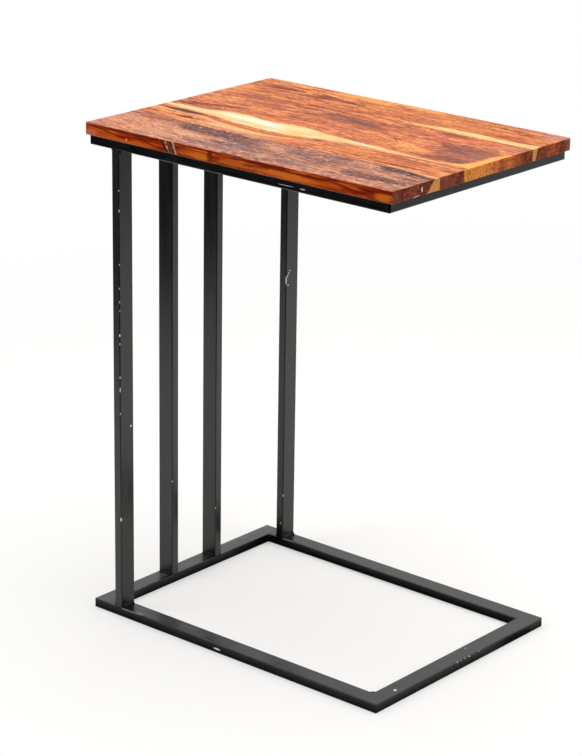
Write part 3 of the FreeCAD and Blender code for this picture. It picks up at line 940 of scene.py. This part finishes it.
# Chips along one edge of the front upright: height, half width, half height and how bare
EDGE_CHIPS = ((590, 0.8, 1.3, 0.6), (563.6, 0.9, 2, 0.7), (492, 0.8, 1.4, 0.8), (460, 0.8, 1.4, 0.6),
              (442, 0.8, 1.8, 0.6), (430, 0.8, 1.2, 0.5), (396.5, 1, 2, 0.9), (385, 0.8, 1.4, 0.6),
              (339, 0.9, 1.6, 0.7), (322, 0.8, 3.4, 0.8), (289, 0.8, 1.6, 0.5), (140, 1.1, 2.4, 1))
# Chips in the paint, down to pale metal, and a few painted highlights in the same pale colour: place, half
# sizes and how bare
UPRIGHT_CHIPS = (
    *((-193.2, -177.8, height, half, half, tall, bare_and_highlight) for height, half, tall, bare_and_highlight in EDGE_CHIPS),
    (-193, -158.4, 267.5, 1, 1.3, 1.4, 0.8), (-219.2, -50.3, 151, 0.9, 0.9, 1.6, 0.7),
    (-219.2, 38.2, 86, 0.9, 0.9, 1.4, 0.6), (-193.2, 153.2, 398, 1, 1, 5.4, 1),
    (-193, 156, 404, 1, 1, 2, 0.6), (-193, 158.4, 407.5, 1, 1, 1.6, 0.6),
    (-193, 160.6, 411, 1, 1.6, 0.8, 0.7), (-193, 157, 390.5, 1, 2.4, 0.8, 0.6),
    (-193.2, 153.2, 78, 0.9, 0.9, 1.8, 0.7), (-196.8, 153, 35, 1.6, 1, 2, 0.3))
# Chips of the long rails; the last two are painted highlights along the base front rail's upper front edge
# and the back rail's upper inner edge, beside the front and back uprights
LONG_RAIL_CHIPS_AND_HIGHLIGHTS = (
    (-21.8, -178, 5.7, 5.2, 1, 1.1, 0.9), (85, -178, 647.9, 11, 1, 0.32, 0.9),
    (111, -178, 647.7, 4, 1, 0.6, 0.8), (-162.7, -175.4, 12.5, 6, 2.2, 1.2, 0.16),
    (-180, -177.5, 12.1, 15, 0.8, 0.8, 0.22), (-183, 153.5, 12.1, 11, 0.7, 0.7, 0.16))
SHORT_RAIL_CHIPS = (
    (235.4, -129.3, 12.5, 2, 2.2, 1, 1), (225.4, 30.1, 12.5, 1.1, 1.1, 1, 0.6),
    (243.6, -10, 12.2, 0.9, 1.4, 1, 0.5), (243.6, -3, 12.2, 0.9, 0.9, 1, 0.35),
    (243.6, 6, 12.2, 0.9, 1.1, 1, 0.3), (243.6, 15, 12.2, 0.9, 1.5, 1, 0.5),
    (243.6, 36, 12.2, 0.9, 1.4, 1, 0.25))
# A painted highlight on the crown of one weld bead, in the chips' columns
WELD_PAINTED_HIGHLIGHT = ((216.4, 150.6, 10.6, 1.5, 1.5, 1.3, 0.12),)


def paint(name, lengths, chip_and_highlight_spots, dull=0, dust_and_highlight=1, painted_sheen_share=0):
    """Satin black paint; lengths are those of its brushed streaks along x, y and z."""
    pen = material_pen("black_paint_" + name)
    place = x, y, _ = pen.place()
    face_x, face_y, face_z = pen.normal()
    peel = pen.grain(place, (1.7, 1.7, 1.7), 0, 1)
    cloud = pen.grain(place, (24, 24, 40), 0, 3)
    streak = pen.grain(place, lengths, 0, 3, 0.6)
    grit = pen.grain(place, (0.9, 0.9, 0.9))
    pen.colour = pen.ramp(cloud * 0.5 + streak * 0.5, [(0.3, DARK_COAT), (0.7, PALE_COAT)])

    on_edge = pen.rise(pen.most(pen.most(abs(face_x), abs(face_y)), abs(face_z)), 0.97, 0.85)
    # Painted sheen: a grey lift on the uprights' flat faces, set face by face and upright by upright, stands
    # in for the brighter reflection these faces catch
    first = pen.rise(y, -100, -140)
    painted_sheen = (first * 0.5 + 0.5) * pen.rise(y, 100, 60) + pen.rise(face_x, 0.85, 0.97) * (0.8 - first * 1.5)
    pen.coat(PAINTED_SHEEN_GREY, (1 - on_edge) * painted_sheen * painted_sheen_share)

    # Dust lies on the faces that look up, in streaks along the tube
    up = pen.rise(face_z, 0.88, 0.985) * dust_and_highlight
    dust = pen.rise(streak * 0.6 + cloud * 0.4, 0.4, 0.7) * up
    settled = 0.4 + pen.rise(y, -150, 130) * 0.4 + pen.rise(x, -215, -225) * 1.3
    pen.coat(DUST, dust * settled * 0.2 + pen.rise(grit, 0.62, 0.8) * up * 0.1)

    # Wear: the rounded edges shine through here and there, and chips show bare metal. Painted highlights: a
    # grey band along the upper rounded edges, and a few pale spots listed with the chips.
    rubbed = on_edge * pen.rise(cloud * 0.6 + grit * 0.4, 0.58, 0.72)
    bare_and_highlight = on_edge * pen.rise(grit * 0.7 + streak * 0.3, 0.76, 0.84)
    # The listed spots: chips down to bare metal, and painted highlights in the same pale colour
    for *numbers, strength in chip_and_highlight_spots:
        away = [(part - middle) * (1 / half) for part, middle, half in zip(place, numbers, numbers[3:])]
        squares = [part * part for part in away]
        rim = pen.math("SQRT", squares[0] + squares[1] + squares[2])
        bare_and_highlight = pen.most(bare_and_highlight, pen.rise(rim + (grit - 0.5) * 1.4, 1.25, 0.85) * strength)
    pen.coat(RUBBED_COAT, rubbed * 0.6)
    # Painted highlight: a grey band along the upper rounded edges, strongest on the back rails
    painted_edge_highlight = on_edge * pen.rise(face_z, 0.25, 0.6) * (pen.rise(y, 90, 145) * 0.75 + 0.25)
    pen.coat(PAINTED_EDGE_HIGHLIGHT_GREY, painted_edge_highlight * dust_and_highlight * 0.7)
    pen.coat(BARE_METAL_AND_HIGHLIGHT, bare_and_highlight)
    pen.set("Base Color", pen.colour)
    rough = (streak - 0.5) * 0.22 + (0.27 + dull) + (cloud - 0.5) * 0.12 + dust * 0.2
    pen.set("Roughness", pen.most(rough, bare_and_highlight * 0.55))
    pen.set("Specular IOR Level", 0.48 - dull * 1.5)
    pen.bump(peel * 0.7 + streak * 0.3 - bare_and_highlight * 0.8, 0.016)
    return pen.owner


def zinc():
    """Bright zinc plating of the screws: fine scratches and a dull bloom in patches."""
    pen = material_pen("zinc_screw")
    place = pen.place()
    scratch = pen.grain(place, (0.25, 2.2, 0.8))
    bloom = pen.grain(place, (2.5, 2.5, 2.5), 0, 3)
    pen.set("Base Color", pen.ramp(bloom * 0.7 + scratch * 0.3,
                                   shades((0.35, 150, 148, 140), (0.65, 196, 196, 192))))
    pen.set("Metallic", 1)
    pen.set("Roughness", (scratch - 0.5) * 0.3 + 0.28 + (bloom - 0.5) * 0.2)
    pen.bump(scratch * 0.6 + bloom * 0.4, 0.01)
    return pen.owner


PAINT = {"upright": paint("upright", (3, 3, 90), UPRIGHT_CHIPS, dull=-0.03, painted_sheen_share=0.24),
         "long_rail": paint("long_rail", (70, 3.2, 3.2), LONG_RAIL_CHIPS_AND_HIGHLIGHTS),
         "short_rail": paint("short_rail", (3.2, 70, 3.2), SHORT_RAIL_CHIPS),
         "weld": paint("weld", (6, 6, 6), WELD_PAINTED_HIGHLIGHT, dull=0.2, dust_and_highlight=0.25)}
ZINC = zinc()


def carried_over(name):
    """The finish of a CAD node that stays in view."""
    if name.startswith("upright"):
        return PAINT["upright"]
    if name.endswith(("_front", "_back")):
        return PAINT["long_rail"]
    if name.endswith(("_open", "_closed")):
        return PAINT["short_rail"]
    return ZINC if name == "top_screws" else PAINT["weld"]


for node_name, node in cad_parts.items():
    node.data.materials.clear()
    node.data.materials.append(carried_over(node_name))
for board_number in (1, 2, 3, 4):
    board(board_number)
upright_welds("foot_welds", UPRIGHT_BOTTOM, 1)
upright_welds("head_welds", UPRIGHT_TOP, -1)
corner_welds("base_corner_welds", 0)
corner_welds("top_corner_welds", UPRIGHT_TOP)


# ---------------- floor, light and camera

FLOOR_RADIUS = 1.9
FLOOR_MIDDLE_Y = 0.55
FLOOR_DROP = 0.0001           # keeps the floor just below the feet of the frame
WHITE = (1, 1, 1, 1)


def floor():
    """A round pale floor, which runs out into white for the camera at its rim."""
    bm = bmesh.new()
    bmesh.ops.create_circle(bm, cap_ends=True, segments=96, radius=FLOOR_RADIUS)
    mesh = bpy.data.meshes.new("floor")
    bm.to_mesh(mesh)
    bm.free()
    disc = new_object("floor", mesh)
    disc.location = (0, FLOOR_MIDDLE_Y, -FLOOR_DROP)

    pen = material_pen("floor")
    pen.set("Roughness", 0.9)
    pen.set("Specular IOR Level", 0.1)
    around = pen.add("TexCoord").outputs["Object"]
    away = pen.result("VectorMath", {0: around}, "Value", operation="LENGTH")
    path = pen.add("LightPath").outputs
    x, y, _ = pen.parts(around)
    y = y + FLOOR_MIDDLE_Y
    off_frame = pen.most(abs(x) - 0.2315, abs(y) - 0.1655)
    beside = pen.rise(abs(off_frame), 0.05, 0.0125)

    # What the tubes mirror is painted shade, seen only by glossy rays: the floor darkens to the front,
    # beside the frame and far to the right
    pen.colour = pen.ramp(x * 0.45 - y * 0.85 + 0.1,
                          shades((0.1, 246, 245, 242), (0.3, 243, 242, 239), (0.52, 222, 221, 218),
                                 (0.72, 176, 175, 173), (0.98, 70, 70, 69)))
    # Painted shadow round the frame, warmer beside the open rail
    pen.coat(pen.mix(rgb(96, 96, 95), rgb(152, 140, 126), pen.rise(x, 0.245, 0.255)), beside)
    # Painted shade on the far floor to the right
    pen.coat(rgb(46, 52, 58), pen.rise(away, 1.38, 1.6) * pen.rise(x, 0.9, 1.3))
    # Painted shadow on the floor inside the frame beside the back rail
    pen.coat(rgb(30, 30, 30), beside * pen.rise(y, 0.08, 0.11) * pen.rise(y, 0.17, 0.15))
    pen.set("Base Color", pen.mix(rgb(249, 248, 245), pen.colour, path["Is Glossy Ray"]))

    rim = pen.rise(away, 0.5, 1.75) * 0.6 + 0.4
    white = pen.add("Emission", {"Color": WHITE, "Strength": 1})
    blend = pen.add("MixShader", {0: rim * Number(pen, path["Is Camera Ray"]),
                                  1: pen.shader.outputs[0], 2: white.outputs[0]})
    pen.plug(pen.output.inputs["Surface"], blend.outputs[0])
    mesh.materials.append(pen.owner)


def studio():
    """Soft light from all round, stronger from the back and above than from the front."""
    world = bpy.data.worlds.new("studio")
    bpy.context.scene.world = world
    pen = Pen(world, "World")
    direction = pen.add("TexCoord").outputs["Generated"]

    def fading(dim_side, start, stop, bright, dim):
        """An even light that fades smoothly towards one side."""
        towards = pen.result("VectorMath", {0: direction, 1: Vector(dim_side).normalized()}, "Value",
                             operation="DOT_PRODUCT")
        level = pen.result("MapRange", {"Value": towards, "From Min": start, "From Max": stop,
                                        "To Min": bright, "To Max": dim}, interpolation_type="SMOOTHSTEP")
        return pen.add("Background", {"Color": WHITE, "Strength": level}).outputs[0]

    soft = fading((0.2, -0.85, -0.48), -0.35, 0.75, 0.72, 0.12)
    mirrored = fading((0.45, -0.85, -0.35), -0.6, 0.25, 0.95, 0.02)
    white = pen.add("Background", {"Color": WHITE, "Strength": 1}).outputs[0]
    path = pen.add("LightPath").outputs
    lit = pen.add("MixShader", {0: path["Is Glossy Ray"], 1: soft, 2: mirrored}).outputs[0]
    seen = pen.most(path["Is Camera Ray"], path["Is Transmission Ray"])
    choice = pen.add("MixShader", {0: seen, 1: lit, 2: white})
    pen.plug(pen.output.inputs["Surface"], choice.outputs[0])


def lamp(name, place, aim, size, watts):
    """A square lamp at a place, turned towards its aim."""
    light = bpy.data.lights.new(name, "AREA")
    light.shape = "SQUARE"
    light.size = size
    light.energy = watts
    lamp_object = new_object(name, light)
    lamp_object.location = place
    lamp_object.rotation_euler = (Vector(aim) - Vector(place)).to_track_quat("-Z", "Y").to_euler()


def camera():
    """The camera stands to the front right, a little above the top, as solved from the photo."""
    data = bpy.data.cameras.new("camera")
    data.lens = 124.98
    data.sensor_width = 36
    data.clip_start = 0.05
    data.clip_end = 50
    place = Vector((2.05862, -2.50096, 1.45188))
    forward = Vector((-0.609998, 0.722656, -0.325071))
    right = Vector((0.76088, 0.648733, 0.014383))
    turn = Matrix((right, right.cross(forward), -forward)).transposed()
    eye = new_object("camera", data)
    eye.matrix_world = Matrix.Translation(place) @ turn.to_4x4()
    bpy.context.scene.camera = eye


floor()
studio()
lamp("top_light", (0.2, 0.4, 2.6), (0, 0, 0.4), 2.4, 38)
lamp("front_light", (-1.2, -2.4, 1.9), (0, 0, 0.45), 1.6, 24)
lamp("right_light", (2.6, 0.2, 1.5), (0, 0, 0.45), 1.6, 10)
camera()
bpy.context.scene.view_settings.view_transform = "Standard"
